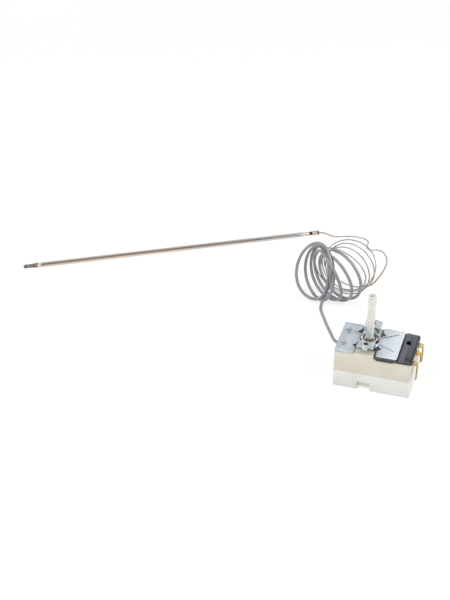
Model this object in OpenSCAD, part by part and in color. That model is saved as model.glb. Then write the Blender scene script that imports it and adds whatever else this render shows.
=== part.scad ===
// Single-pole thermostat with a dial shaft, a sleeved capillary and a long thin bulb.
// The origin is the foot of the shaft's axis on the underside of the bottom cover.
// X runs along the housing towards the terminals, Y to the back, Z up.

/* [Housing] */
// Length of the housing, from the capillary end to the terminal end
body_l = 58; // [56:0.5:64]
// Width of the housing, from front to back
body_w = 37; // [36.5:0.5:42]
// Height of the bottom cover
base_h = 14; // [13.5:0.5:16]
// Height of the case's top face, which carries the mounting plate
case_top = 32; // [31.5:0.5:36]
// Distance of the shaft's axis from the capillary end
shaft_x = 22.5; // [22:0.5:24]
// Wall of the bottom cover
base_wall = 2; // [1.6:0.1:2.2]
// Floor of the bottom cover
base_floor = 2; // [1.8:0.1:2.6]
// Wall of the case and of its skirt
case_wall = 2; // [1.6:0.1:2.2]
// Thickness of the liner between the diaphragm chamber and the mounting plate
liner_t = 0.6; // [0.4:0.1:0.7]
// Web between the switch chamber and the diaphragm chamber
web_t = 2; // [1.6:0.1:2.4]
// Radius of the housing's upright edges
edge_r = 1.2; // [0.6:0.1:1.6]
// Width of the notch in the bottom cover's front
notch_w = 9.4; // [6:0.2:12]
// Height of the notch
notch_h = 6.8; // [4:0.2:9]
// Offset of the notch's middle from the shaft's axis
notch_x = 0.8; // [-3:0.2:4]

/* [Mounting plate] */
// Length of the housing that the plate leaves bare at the terminal end
plate_short = 11.5; // [10:0.5:14]
// Depth of the lip turned down along the plate's front edge
plate_lip = 0.9; // [0.6:0.1:1.6]
// Thickness of the plate's sheet
plate_t = 1.2; // [1:0.1:1.6]
// Spacing of the two tapped holes in the ears
hole_pitch = 28; // [27:0.5:30]
// Core diameter of the tapped holes
hole_d = 3.3; // [2.9:0.1:4.2]
// Width of an ear
ear_w = 12.6; // [11:0.2:13.6]
// Length of an ear from its hole to its end
ear_end = 4.4; // [4:0.2:6]
// Height of the ears above the plate
ear_rise = 5.8; // [4:0.2:6.4]
// Width of the window between an ear's two legs
window_w = 8.6; // [7:0.2:9.4]
// Reach of the pointed cut-outs beside the ears, from the shaft's axis
cut_reach = 11.25; // [9.5:0.25:12]
// Diameter of the pressed circle round the shaft
boss_d = 18.4; // [17.6:0.2:18.8]
// Height of the pressed circle
boss_h = 1; // [0.6:0.1:1.4]
// Depth of the dish inside the pressed circle
dish_h = 0.5; // [0.3:0.1:0.6]
// Height of the ribs pressed into the plate
rib_h = 0.5; // [0.2:0.1:0.8]
// Width of a rib where it leaves the pressed circle
rib_w = 1.3; // [0.8:0.1:1.6]

/* [Switch cover] */
// Left edge of the switch cover, from the shaft's axis
cover_x = 7; // [6:0.25:8]
// Thickness of the switch cover
cover_t = 1.8; // [1.6:0.1:2.2]
// Overhang of the switch cover over the case's front and back
cover_over = 0.7; // [0.4:0.1:1.2]
// Length of the lip that hooks over the case's front and back
lip_l = 13; // [8:0.5:16]
// Depth of the lip below the cover
lip_h = 0.9; // [0.8:0.1:2]
// Chamfer along the terminal end
cover_chamfer = 1.2; // [0.6:0.1:1.4]

/* [Shaft] */
// Diameter of the dial shaft
shaft_d = 6; // [5.4:0.1:6.6]
// Height of the shaft's end above the underside of the housing
shaft_top = 73; // [60:1:80]
// Diameter of the recess in the shaft's end
recess_d = 4.2; // [3:0.2:4.6]
// Depth of the recess
recess_h = 3; // [1:0.5:6]
// Diameter of the metal core that the shaft is pressed on
core_d = 2.6; // [2.2:0.1:3]
// Height of the core inside the shaft
core_h = 14; // [10:0.5:18]
// Diameter of the spindle in its bush
spindle_d = 5; // [4.6:0.1:5.2]
// Outer diameter of the domed ring at the shaft's foot
ring_d = 12.6; // [11:0.2:14]
// Thickness of the ring's rolled rim
ring_rim = 2; // [1.6:0.1:2.4]
// Turn of the shaft from one stop to the other, in degrees
shaft_turn = 290; // [270:1:295]

/* [Diaphragm] */
// Diameter of the diaphragm capsule
capsule_d = 22.8; // [21:0.2:23.6]
// Height of the capsule's middle plane
capsule_z = 22.4; // [22.2:0.1:22.8]
// Height of a disc's middle above the capsule's middle plane
capsule_rise = 0.9; // [0.7:0.05:1.1]
// Thickness of a diaphragm disc
disc_t = 0.3; // [0.2:0.05:0.4]
// Diameter of the push pin
pin_d = 3; // [2.4:0.1:3.4]

/* [Terminals] */
// Width of a blade
blade_w = 4.8; // [4.4:0.1:5]
// Thickness of a blade
blade_t = 0.8; // [0.6:0.1:1]
// Reach of the blades beyond the housing
blade_out = 4; // [3:0.25:6]
// Height of the outer blades' lower ends
blade_end = 16; // [12:0.5:19]
// Height of the middle blade's lower end
blade_middle_end = 22; // [19:0.5:25]
// Distance of the front blade's middle from the housing's front
blade_front_in = 4.3; // [4.1:0.1:4.7]
// Middle blade's place, from the shaft's axis
blade_middle_y = -0.9; // [-1.5:0.1:0.5]
// Distance of the back blade's middle from the housing's back
blade_back_in = 9.2; // [8.5:0.1:9.5]

/* [Capillary and bulb] */
// Diameter of the capillary's sleeve
sleeve_d = 2.2; // [1.8:0.1:2.6]
// Diameter of the bare capillary
capillary_d = 1; // [0.8:0.1:1.2]
// Diameter of the coil over the sleeved turns
coil_d = 48.8; // [44:0.2:52]
// Diameter of the coil over the bare turns
bare_coil_d = 46; // [42:0.2:50]
// Diameter of the bulb
bulb_d = 4; // [3:0.1:6]
// Length of the bulb with its tip and neck
bulb_l = 262; // [200:1:300]
// Length of the pinched tip
tip_l = 7; // [5:0.5:10]
// Length of the neck that grips the capillary
neck_l = 11; // [8:0.5:14]

/* [Hidden] */
$fn = 64;

// Clearances: between pieces that are assembled, between moving ones, and a cut's overrun
fit = 0.1;
run = 0.05;
gap = 0.3;
cut = 1;

// Housing
x0 = -shaft_x;
x1 = body_l - shaft_x;
half_w = body_w / 2;
skirt_in = base_wall + fit;
chamber_in = skirt_in + case_wall;
web_z = base_h - web_t;
skirt_z = base_floor + gap;
cover_z = case_top - cover_t;

// Mounting plate, spindle and bush
plate_z = case_top;
plate_top = plate_z + plate_t;
plate_l = body_l - plate_short;
plate_x = x0 + plate_l;
plate_w = body_w - 0.4;
plate_r = 1.5;
ear_y = hole_pitch / 2;
ear_bend_y = ear_y - 4;
leg_run = 1;
notch_half = ear_w / 2 + 1.7;
notch_flare = 1;
plate_lip_x = -notch_half;
collar_r = hole_d / 2 + 1.75;
collar_h = 0.4;
apron_r = 4.2;
apron_y = ear_y + 1.2;
apron_h = 2.3;
notch_inner = [notch_half - 0.1, 5.1];
RIBS = [[34, 24], [-24, 22.5], [147, 15], [210, 14.5]];
boss_top = plate_top + boss_h;
boss_under = plate_z + boss_h;
dish_d = boss_d - 3;
dish_z = boss_top - dish_h;
neck_d = 8;
neck_top = boss_top + 1;
flange_d = 13;
flange_t = 2;
flange_z = boss_under - flange_t;
liner_z = plate_z - liner_t;
liner_bore = flange_d + 2;
shaft_z = neck_top + 0.2;
core_top = shaft_z + core_h;

// Stop disc, carrier and diaphragm capsule
stop_t = 2;
stop_d = 17;
stop_z = flange_z - 0.4 - stop_t;
stop_reach = 11;
stop_half = 10;
post_half = 22;
post_r = 9.4;
rest_turn = shaft_turn / 2 - 90;
carrier_t = 3;
carrier_top = stop_z - 1;
carrier_z = carrier_top - carrier_t;
carrier_d = capsule_d + 2.4;
carrier_bore = capsule_d + 0.4;
skirt_bottom = capsule_z - 1.2;
carrier_reach = half_w - case_wall - 0.4;
ear_half = 1.35;
guide_gap = 0.15;
guide_half = notch_half + 0.8;
guide_in = half_w - case_wall - carrier_d / 2 - 0.4;
stud_d = 8.6;
stud_bore = 6.2;
flat_d = 9;
rim_w = 1;
waves = 2.5;
wave_h = 0.16;
button_d = 4.4;
button_t = 1.2;
button_z = capsule_z - capsule_rise - button_t;
inlet_turn = 10;
socket_r = 1.1;
socket_l = 2.6;
socket_out = capsule_d / 2 + run + socket_l;

// Switch chamber: its heights are stacked down from the web
pivot_x = x1 / 2 - 0.15;
contact_x = -14;
strip_end = contact_x - 2.5;
tab_l = 5;
fixed_d = 3.6;
fixed_h = 1;
moving_d = 3.2;
moving_h = 1;
tail_d = 1.8;
throw = 1;
arm_t = 0.3;
arm_w = 9;
upper_z = web_z - blade_t;
upper_face = upper_z - fixed_h;
arm_z = upper_face - fit - moving_h - arm_t;
foot_z = arm_z - blade_t;
lower_face = arm_z - moving_h - throw;
lower_z = lower_face - fixed_h - blade_t;
pivot_z = arm_z + arm_t / 2;
tongue_w = 3.4;
tongue_from = 3.5;
tongue_to = pivot_x - 4.1;
tongue_bow = 1.1;
anchor_t = 1.4;
anchor_l = 7;
anchor_x = pivot_x - 0.8;
rivet_x = pivot_x + 3.9;
rivet_d = 2.2;
rivet_head_d = 4;
rivet_head_t = 0.7;

// Push pin
pin_gap = 0.1;
pin_z = arm_z + arm_t + pin_gap;
pin_top = button_z - pin_gap;
guide_d = 7.2;
guide_top = button_z - 2.8;

// Screws, straps and the terminals' places
post_d = 6.4;
screw_in = 13.7;
screw_x = x1 - screw_in;
screw_y = half_w - chamber_in - post_d / 2 - 0.2;
screw_d = 2.4;
screw_end = cover_z - 3.2;
screw_head_d = 4.6;
head_sink = 0.2;
boss_d2 = 6;
boss_z = cover_z - 8.3;
strap_x = x0 + 5.1;
strap_y = 8.9;
strap_w = 6.4;
strap_t = 0.8;
strap_foot = 4;
strap_end = 1.3;
strap_twist = 12;
stake_l = 4.8;
stake_h = 0.6;
strip_y = 3.2;
strip_w = screw_y - post_d / 2 - gap - strip_y;
shelf_l = 2.8;
riser_in = 7.6;
riser_x = x1 - riser_in;
middle_riser_in = 5.4;
middle_riser_x = x1 - middle_riser_in;
blade_z = cover_z - blade_t;
blade_x = x1 + blade_out;
blade_front_y = blade_front_in - half_w;
blade_back_y = half_w - blade_back_in;
inner_front_y = chamber_in + 0.5 + blade_w / 2 - half_w;
inner_back_y = blade_back_y;
level_x = x1 - case_wall - 0.5;
bend_r = 1;
spoon_neck = 2.4;
spoon_x = blade_x - blade_w / 2 - 0.4;

// Switch cover
step_x = x1 - 6.1;
step_h = 0.3;
pocket = [4.7, 5.8, 1.2];
pocket_in = 0.8;
port = [3, 5];
port_x = x1 - 8.6;
port_y = blade_back_y - 4.8;
cover_r = 1.6;
groove = [1.5, 0.8];
groove_x = plate_x - 0.6;

// Coil: the winding stands on its rim behind the housing, with its axis turned by coil_turn
coil_turn = 60;
coil_at = [-60, 94];
coil_shift = 21;
coil_w = 18;
coil_wall = 12;
bare_w = 28;
bare_wall = 9;
bare_at = coil_at + (coil_w + bare_w) / 2 * [cos(coil_turn), sin(coil_turn)]
    + coil_shift / 2 * [sin(coil_turn), -cos(coil_turn)];

// Route of the sleeved capillary from the case to the coil, laid by hand
capillary_z = capsule_z;
exit_dir = [-cos(inlet_turn), sin(inlet_turn), 0];
wall_r = (shaft_x - case_wall) / cos(inlet_turn);
lead_start = [0, 0, capillary_z] + wall_r * exit_dir;
SLEEVE_ROUTE = [
    lead_start, lead_start + 3.4 * exit_dir, [x0 - 5.7, 7.8, 22], [x0 - 9, 13.6, 21.5],
    [x0 - 12, 20, 20.3],
    [-40, 33, 16.5], [-47.5, 54, 9], [-53.5, 71, 3], [-55.6, 79, 1.4], [-55, 84.5, 5]
];
SLEEVE_STEPS = 2;

// The bulb lies along bulb_turn from the end of its neck
bulb_turn = 30;
bulb_at = [-85.5, 192.5, bulb_d / 2];
bulb_dir = [cos(bulb_turn), sin(bulb_turn), 0];
neck_r = bulb_d / 2 - 0.3;
cone_l = 8;
crimp_at = 7;
crimp_l = 1.2;
collar_l = 1.4;
step_l = 3.5;
tip_r = bulb_d / 2 - 0.5;
pinch_turn = 12;

// Route of the bare capillary from the coil to the bulb's neck, laid by hand
grip = 3;
CAPILLARY_ROUTE = [
    [-38, 108.5, 0.5], [-31, 114, 0.5], [-25, 120, 0.5], [-20.8, 129, 0.5], [-18.4, 142, 0.5],
    [-17.4, 155, 0.5], [-18.2, 167, 0.5], [-21, 174.5, 0.5], [-25.5, 179.4, 0.5],
    [-30.5, 181, 0.5], [-35, 180.6, 0.5], [-38.6, 182.4, 0.5], [-39.6, 186.4, 0.5],
    [-40.6, 190.6, 0.5], [-44.5, 193.8, 0.5], [-50, 196.2, 0.5], [-58, 196.4, 0.5],
    [-68, 193.6, 0.5], [-76, 195.6, 0.7], [-81, 195, 1.4], bulb_at - grip * bulb_dir
];
CAPILLARY_STEPS = 3;

// Points of a smooth curve through a route, with steps rings to each stretch
function along(p, i) = p[max(0, min(len(p) - 1, i))];
function spline_point(a, b, c, d, t) =
    0.5 * (2 * b + (c - a) * t + (2 * a - 5 * b + 4 * c - d) * t * t
    + (3 * b - a - 3 * c + d) * t * t * t);
function spline(p, steps) = concat(
    [for (i = [0:len(p) - 2]) for (s = [0:steps - 1])
        spline_point(along(p, i - 1), p[i], p[i + 1], along(p, i + 2), s / steps)],
    [p[len(p) - 1]]);
function unit(v) = v / norm(v);
function heading(p, i) = unit(along(p, i + 1) - along(p, i - 1));

// A tube of n sides swept along the points of a curve
module swept_tube(p, d, n = 8) {
    rings = len(p);
    points = [for (i = [0:rings - 1])
        let (t = heading(p, i), side = unit(cross([0, 0, 1], t)), up = cross(t, side))
        for (k = [0:n - 1]) p[i] + d / 2 * (cos(360 * k / n) * side + sin(360 * k / n) * up)];
    sides = [for (i = [0:rings - 2]) for (k = [0:n - 1])
        [i * n + k, (i + 1) * n + k, (i + 1) * n + (k + 1) % n, i * n + (k + 1) % n]];
    start = [for (k = [0:n - 1]) k];
    end = [for (k = [n - 1:-1:0]) (rings - 1) * n + k];
    polyhedron(points, concat([start], sides, [end]), convexity = 10);
}

// Flat outline helpers
module round_rect(l, w, r) {
    translate([r, 0]) square([l - 2 * r, w]);
    translate([0, r]) square([l, w - 2 * r]);
    for (x = [r, l - r], y = [r, w - r]) translate([x, y]) circle(r);
}

module ring(r_out, r_in, z, h) {
    translate([0, 0, z]) difference() {
        cylinder(h = h, r = r_out);
        translate([0, 0, -cut]) cylinder(h = h + 2 * cut, r = r_in);
    }
}

// A block of the housing's plan, drawn in by inset all round, from z up to top
module housing_block(inset, z, top, r) {
    translate([x0 + inset, -half_w + inset, z])
        linear_extrude(top - z) round_rect(body_l - 2 * inset, body_w - 2 * inset, r);
}

// A bent strip of sheet: its middle line in the XZ plane, its width along Y
module bent_strip(path, w, t, y) {
    translate([0, y + w / 2, 0]) rotate([90, 0, 0]) linear_extrude(w) {
        for (i = [0:len(path) - 2])
            let (d = path[i + 1] - path[i])
            translate(path[i]) rotate(atan2(d.y, d.x)) translate([0, -t / 2]) square([norm(d), t]);
        for (i = [1:len(path) - 2]) translate(path[i]) circle(d = t, $fn = 24);
    }
}

// A quarter bend of a strip's middle line
function bend(cx, cz, r, from, to) = [for (k = [0:3])
    let (a = from + (to - from) * k / 3) [cx + r * cos(a), cz + r * sin(a)]];

// Places where the straps, screws and terminals pass from one chamber to the other
module strap_slots(z, top, clear) {
    for (side = [-1, 1])
        translate([strap_x - strap_t / 2 - clear, side * strap_y - strap_w / 2 - clear, z])
            cube([strap_t + 2 * clear, strap_w + 2 * clear, top - z]);
}

module at_screws() {
    for (side = [-1, 1]) translate([screw_x, side * screw_y, 0]) children();
}

module riser_slot(x, y) {
    translate([x - blade_t / 2 - fit, y - blade_w / 2 - fit, web_z - cut])
        cube([blade_t + 2 * fit, blade_w + 2 * fit, web_t + 2 * cut]);
}

// White bottom cover: a tray with the switch's posts and a notch in its front
module base() {
    color("whitesmoke") difference() {
        union() {
            difference() {
                housing_block(0, 0, base_h, edge_r);
                housing_block(base_wall, base_floor, base_h + cut, edge_r / 2);
            }
            at_screws() cylinder(h = web_z - gap, r = post_d / 2);
            translate([anchor_x + 2.2, blade_middle_y - blade_w / 2, base_floor - fit])
                cube([middle_riser_x - anchor_x - 5, blade_w, foot_z - base_floor + fit]);
            translate([strip_end, -strip_y, base_floor - fit])
                cube([tab_l, strip_w + 2 * strip_y - fit, lower_z - base_floor + fit]);
            translate([pivot_x / 2, strip_y, base_floor - fit])
                cube([tab_l, strip_w, lower_z - base_floor + fit]);
        }
        translate([notch_x - notch_w / 2, -half_w - cut, -cut])
            cube([notch_w, base_wall + 4 + cut, notch_h + cut]);
        at_screws() {
            translate([0, 0, -cut]) cylinder(h = base_h + cut, r = screw_d / 2 + fit);
            translate([0, 0, -cut]) cylinder(h = base_floor + cut, r = screw_head_d / 2 + fit);
        }
        strap_slots(-cut, base_floor + cut, fit);
        for (side = [-1, 1])
            translate([strap_x - strap_t / 2 - fit, side * strap_y - strap_w / 2 - fit, -cut])
                cube([strap_foot + 2 * fit, strap_w + 2 * fit, cut + head_sink + strap_t + fit]);
        translate([rivet_x, blade_middle_y, foot_z - rivet_head_t - gap])
            cylinder(h = cut + rivet_head_t + gap, r = rivet_head_d / 2 + gap);
    }
}

// Cream case: walls, web, skirt inside the bottom cover, guides for the carrier and the stop post
module case() {
    color("wheat") difference() {
        union() {
            difference() {
                housing_block(0, base_h, case_top, edge_r);
                housing_block(case_wall, base_h - cut, case_top + cut, edge_r / 2);
            }
            difference() {
                housing_block(skirt_in, skirt_z, base_h + fit, edge_r / 2);
                housing_block(chamber_in, skirt_z - cut, web_z, edge_r / 2);
            }
            intersection() {
                housing_block(fit, base_h, case_top, edge_r);
                union() {
                    for (side = [-1, 1])
                        translate([-guide_half, side * (half_w - case_wall) - (side > 0 ? guide_in : 0),
                            base_h - fit])
                            cube([2 * guide_half, guide_in, liner_z - base_h + fit]);
                    difference() {
                        translate([0, 0, stop_z - 0.2])
                            rotate_extrude(angle = 2 * post_half, start = 90 - post_half)
                            translate([post_r, 0]) square([half_w - post_r, stop_t + 0.9]);
                        translate([-body_l, half_w - fit, 0]) cube([2 * body_l, body_w, case_top]);
                    }
                    at_screws() translate([0, 0, base_h - fit])
                        cylinder(h = boss_z - gap - base_h, r = post_d / 2);
                }
            }
            translate([0, 0, base_h - fit]) cylinder(h = guide_top - base_h + fit, r = guide_d / 2);
        }
        for (turn = [0, 180]) rotate(turn)
            translate([-ear_half - guide_gap, post_r - cut, base_h])
                cube([2 * (ear_half + guide_gap), half_w - case_wall - post_r + cut, case_top]);
        translate([x0 - cut, -half_w - cut, plate_z - plate_lip - fit])
            cube([plate_lip_x + fit - x0 + cut, cut + 0.2 + plate_t + fit, case_top]);
        translate([cover_x - fit, -body_w, cover_z]) cube([body_l, 2 * body_w, case_top]);
        for (y = [blade_front_y, blade_middle_y, blade_back_y])
            translate([x1 - case_wall - cut, y - blade_w / 2 - fit, blade_z])
                cube([case_wall + 2 * cut, blade_w + 2 * fit, blade_t + cut]);
        riser_slot(riser_x, inner_front_y);
        riser_slot(riser_x, inner_back_y);
        riser_slot(middle_riser_x, blade_middle_y);
        strap_slots(0, base_h + cut, fit);
        at_screws() translate([0, 0, web_z - cut])
            cylinder(h = boss_z - web_z + cut, r = screw_d / 2 + fit);
        translate([0, 0, web_z - cut]) cylinder(h = guide_top - web_z + 2 * cut, r = pin_d / 2 + run);
        translate(lead_start - 2 * exit_dir) rotate([0, 0, 180 - inlet_turn]) {
            rotate([0, 90, 0]) cylinder(h = 4 * case_wall, r = sleeve_d / 2 + fit);
            translate([0, -sleeve_d / 2 - fit, 0])
                cube([4 * case_wall, sleeve_d + 2 * fit, case_top]);
        }
    }
}

// Moulded liner that lies under the plate's openings and closes the diaphragm chamber
module liner() {
    color("wheat") difference() {
        translate([strap_x + strap_foot + 1, case_wall + gap - half_w, liner_z])
            cube([cover_x - gap - strap_x - strap_foot - 1, body_w - 2 * case_wall - 2 * gap, liner_t]);
        translate([0, 0, liner_z - cut]) cylinder(h = liner_t + 2 * cut, r = liner_bore / 2);
    }
}

// The opening behind an ear: two pointed cut-outs and the gap between the plate's two parts
module plate_cut() {
    edge = plate_w / 2;
    tip = [cut_reach, ear_bend_y - 1.4];
    shoulder = [notch_half + 1.4, ear_bend_y + 0.6];
    polygon([
        [-notch_half, plate_w], [-notch_half, ear_y - 0.8], [-shoulder.x, shoulder.y],
        [-tip.x, tip.y], [-notch_half - 1, ear_bend_y - 2.4], [-notch_inner.x, notch_inner.y],
        [-ear_w / 2, ear_bend_y - leg_run], [ear_w / 2, ear_bend_y - leg_run],
        notch_inner, [notch_half + 1, ear_bend_y - 2.4], tip, shoulder, [notch_half, ear_y - 0.8],
        [notch_half, edge - notch_flare], [notch_half + notch_flare, edge + 0.1],
        [notch_half + notch_flare, plate_w]
    ]);
}

// An ear: a raised tab on two legs, with a collar and a drawn apron round its tapped hole
module ear() {
    top = plate_top + ear_rise;
    end_y = ear_y + ear_end;
    path = [
        [ear_bend_y - leg_run - 0.4, plate_z + plate_t / 2], [ear_bend_y - leg_run, plate_z + plate_t / 2],
        [ear_bend_y, top - plate_t / 2], [end_y, top - plate_t / 2]
    ];
    window_top = top - plate_t - 0.6;
    window_y = ear_bend_y + 0.8;
    window_r = window_w / 2;
    difference() {
        union() {
            translate([-ear_w / 2, 0, 0]) rotate([90, 0, 90]) linear_extrude(ear_w) {
                for (i = [0:len(path) - 2])
                    let (d = path[i + 1] - path[i])
                    translate(path[i]) rotate(atan2(d.y, d.x)) translate([0, -plate_t / 2])
                        square([norm(d), plate_t]);
                for (i = [1:len(path) - 2]) translate(path[i]) circle(d = plate_t, $fn = 24);
            }
            translate([0, ear_y, top - fit]) cylinder(h = collar_h + fit, r = collar_r);
            translate([0, apron_y, top - apron_h]) cylinder(h = apron_h - fit, r = apron_r);
        }
        translate([0, window_y, 0]) rotate([90, 0, 0])
            linear_extrude(window_y - ear_bend_y + leg_run + plate_t) intersection() {
                translate([0, window_top - window_r]) circle(window_r);
                translate([-window_r, boss_top]) square([window_w, ear_rise]);
            }
        translate([-window_r, boss_d / 2 + fit, plate_top])
            cube([window_w, window_y - boss_d / 2 - fit, boss_h + fit]);
        translate([0, ear_y, plate_z]) cylinder(h = ear_rise + plate_t + cut, r = hole_d / 2);
    }
}

// Zinc-plated mounting plate with two raised ears, a pressed circle and four ribs
module mounting_plate() {
    color("lightsteelblue") {
        difference() {
            union() {
                translate([x0 + fit, -plate_w / 2, plate_z]) linear_extrude(plate_t)
                    round_rect(plate_l - fit, plate_w, plate_r);
                translate([0, 0, plate_z])
                    cylinder(h = boss_h + plate_t, r1 = boss_d / 2, r2 = boss_d / 2 - 0.7);
                translate([x0 + plate_r, -plate_w / 2, plate_z - plate_lip])
                    cube([plate_lip_x - x0 - plate_r, plate_t, plate_lip + fit]);
                for (rib = RIBS) rotate(rib.x) pressed_rib(rib.y);
            }
            for (side = [0, 1]) mirror([0, side, 0])
                translate([0, 0, plate_z - cut]) linear_extrude(plate_t + rib_h + 2 * cut) plate_cut();
            translate([0, 0, plate_z - cut]) cylinder(h = boss_h + cut, r = dish_d / 2);
            translate([0, 0, dish_z]) cylinder(h = dish_h + cut, r = dish_d / 2);
            translate([0, 0, plate_z - cut]) cylinder(h = boss_h + plate_t + 2 * cut, r = neck_d / 2 + run);
            strap_slots(plate_z - cut, plate_top + cut, fit);
            for (side = [-1, 1])
                translate([strap_x - stake_l / 2, side * strap_y - strap_t / 2, plate_top - stake_h])
                    cube([stake_l, strap_t, stake_h + cut]);
        }
        for (turn = [0, 180]) rotate(turn) ear();
    }
}

// A tapered rib pressed up from the circle outwards
module pressed_rib(reach) {
    inner = boss_d / 2 - 0.5;
    translate([0, 0, plate_top - fit]) linear_extrude(rib_h + fit) polygon([
        [inner, -rib_w / 2], [reach, -rib_w / 4], [reach, rib_w / 4], [inner, rib_w / 2]
    ]);
}

// Dark cover over the switch's terminals, hooked over the case's edges
module switch_cover() {
    color("dimgray") difference() {
        union() {
            intersection() {
                translate([0, half_w + cover_over, 0]) rotate([90, 0, 0])
                    linear_extrude(body_w + 2 * cover_over) polygon([
                        [cover_x, cover_z], [x1, cover_z], [x1, case_top - cover_chamfer],
                        [x1 - cover_chamfer, case_top - step_h], [step_x, case_top - step_h],
                        [step_x, case_top], [cover_x, case_top]
                    ]);
                translate([cover_x, -half_w - cover_over, cover_z - cut])
                    linear_extrude(cover_t + 2 * cut)
                    round_rect(x1 - cover_x, body_w + 2 * cover_over, cover_r);
            }
            for (side = [-1, 1])
                translate([cover_x + cover_r, side * (half_w + fit) - (side < 0 ? cover_over - fit : 0),
                    cover_z - lip_h])
                    cube([lip_l, cover_over - fit, lip_h + fit]);
            at_screws() translate([0, 0, boss_z])
                cylinder(h = cover_z - boss_z + fit, r = boss_d2 / 2);
        }
        translate([port_x, port_y, cover_z - cut]) cube([port.x, port.y, cover_t + 2 * cut]);
        translate([groove_x, -body_w, case_top - groove.y]) cube([groove.x, 2 * body_w, groove.y + cut]);
        translate([step_x, pocket_in - half_w, case_top - pocket.z])
            cube([pocket.x, pocket.y, pocket.z + cut]);
        at_screws() translate([0, 0, boss_z - cut])
            cylinder(h = screw_end + gap - boss_z + cut, r = screw_d / 2);
        translate([0, 0, cover_z - cut]) cylinder(h = cover_t + 2 * cut, r = flange_d / 2 + gap);
        translate([0, 0, cover_z - cut])
            cylinder(h = stop_z + stop_t + gap - cover_z + cut, r = stop_reach + 0.4);
    }
}

// Two steel straps: a foot under the bottom cover, a leg, and a twisted end over the plate
module fixing_straps() {
    color("silver") for (side = [-1, 1]) translate([strap_x, side * strap_y, 0]) {
        translate([-strap_t / 2, -strap_w / 2, head_sink]) cube([strap_foot, strap_w, strap_t]);
        translate([-strap_t / 2, -strap_w / 2, head_sink])
            cube([strap_t, strap_w, plate_top - head_sink]);
        translate([0, 0, plate_top]) rotate(strap_twist)
            translate([-strap_t / 2, -strap_w / 2, 0]) cube([strap_t, strap_w, strap_end]);
    }
}

// Two screws that clamp the bottom cover, the case and the switch cover
module cover_screws() {
    color("silver") at_screws() difference() {
        union() {
            translate([0, 0, head_sink])
                cylinder(h = base_floor - head_sink, r = screw_head_d / 2);
            translate([0, 0, head_sink]) cylinder(h = screw_end - head_sink, r = screw_d / 2 - 0.02);
        }
        translate([-screw_head_d, -0.4, -cut]) cube([2 * screw_head_d, 0.8, cut + 0.9]);
    }
}

// Flanged bush that the spindle turns in, spun over the plate
module spindle_bush() {
    color("goldenrod") difference() {
        union() {
            translate([0, 0, flange_z]) cylinder(h = flange_t, r = flange_d / 2);
            translate([0, 0, flange_z]) cylinder(h = neck_top - flange_z, r = neck_d / 2);
        }
        translate([0, 0, flange_z - cut])
            cylinder(h = neck_top - flange_z + 2 * cut, r = spindle_d / 2 + run);
    }
}

// Domed steel ring round the bush's neck
module shaft_ring() {
    color("silver") translate([0, 0, dish_z]) rotate_extrude() {
        translate([neck_d / 2 + run, 0]) square([ring_d / 2 - ring_rim / 2 - neck_d / 2 - run, 0.7]);
        translate([ring_d / 2 - ring_rim / 2, ring_rim / 2]) circle(d = ring_rim, $fn = 32);
    }
}

// Natural polymer shaft, with a recess in its end and a bore for the metal core
module shaft() {
    color("ivory") difference() {
        union() {
            translate([0, 0, shaft_z]) cylinder(h = shaft_top - 0.4 - shaft_z, r = shaft_d / 2);
            translate([0, 0, shaft_top - 0.4]) cylinder(h = 0.4, r1 = shaft_d / 2, r2 = shaft_d / 2 - 0.4);
        }
        translate([0, 0, shaft_top - recess_h]) cylinder(h = recess_h + cut, r = recess_d / 2);
        translate([0, 0, shaft_z - cut]) cylinder(h = core_h + cut, r = core_d / 2);
    }
}

// Steel spindle: threaded foot, journal in the bush and slender core in the shaft
module spindle() {
    color("gray") {
        translate([0, 0, carrier_z + 0.2])
            cylinder(h = neck_top - carrier_z - 0.2, r = spindle_d / 2);
        translate([0, 0, neck_top]) cylinder(h = core_top - neck_top, r = core_d / 2);
    }
}

// Disc on the spindle whose lug meets the case's post at both ends of the turn
module stop_disc() {
    color("darkgray") translate([0, 0, stop_z]) difference() {
        union() {
            cylinder(h = stop_t, r = stop_d / 2);
            rotate_extrude(angle = 2 * stop_half, start = rest_turn - stop_half)
                translate([stop_d / 2 - 1, 0]) square([stop_reach - stop_d / 2 + 1, stop_t]);
        }
        translate([0, 0, -cut]) cylinder(h = stop_t + 2 * cut, r = spindle_d / 2);
    }
}

// Cup that the spindle's thread raises and lowers, keyed by two ears in the case
module carrier() {
    color("goldenrod") difference() {
        union() {
            ring(carrier_d / 2, carrier_bore / 2, skirt_bottom, carrier_z - skirt_bottom + fit);
            translate([0, 0, carrier_z]) cylinder(h = carrier_t, r = carrier_d / 2);
            translate([-ear_half, -carrier_reach, carrier_z])
                cube([2 * ear_half, 2 * carrier_reach, carrier_t]);
        }
        translate([0, 0, carrier_z - cut]) cylinder(h = carrier_t + 2 * cut, r = spindle_d / 2 + run);
        rotate(180 - inlet_turn) translate([carrier_bore / 2 - 1, -socket_r - 0.4, skirt_bottom - cut])
            cube([4, 2 * socket_r + 0.8, carrier_z - 0.6 - skirt_bottom + cut]);
    }
}

// One corrugated disc, from its flat middle to its flat rim
function disc_height(r) =
    let (outer = capsule_d / 2 - rim_w, inner = flat_d / 2, k = (outer - r) / (outer - inner))
    r >= outer ? disc_t : r <= inner ? capsule_rise
    : disc_t + (capsule_rise - disc_t) * k + wave_h * sin(360 * waves * k);

module corrugated_disc() {
    steps = 20;
    outer = capsule_d / 2 - rim_w;
    inner = flat_d / 2;
    radii = concat([0], [for (i = [0:steps]) inner + (outer - inner) * i / steps], [capsule_d / 2]);
    rotate_extrude() polygon(concat(
        [for (r = radii) [r, disc_height(r)]],
        [for (i = [len(radii) - 1:-1:0]) [radii[i], disc_height(radii[i]) - disc_t]]));
}

module diaphragm_upper() {
    color("silver") translate([0, 0, capsule_z]) corrugated_disc();
}

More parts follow.
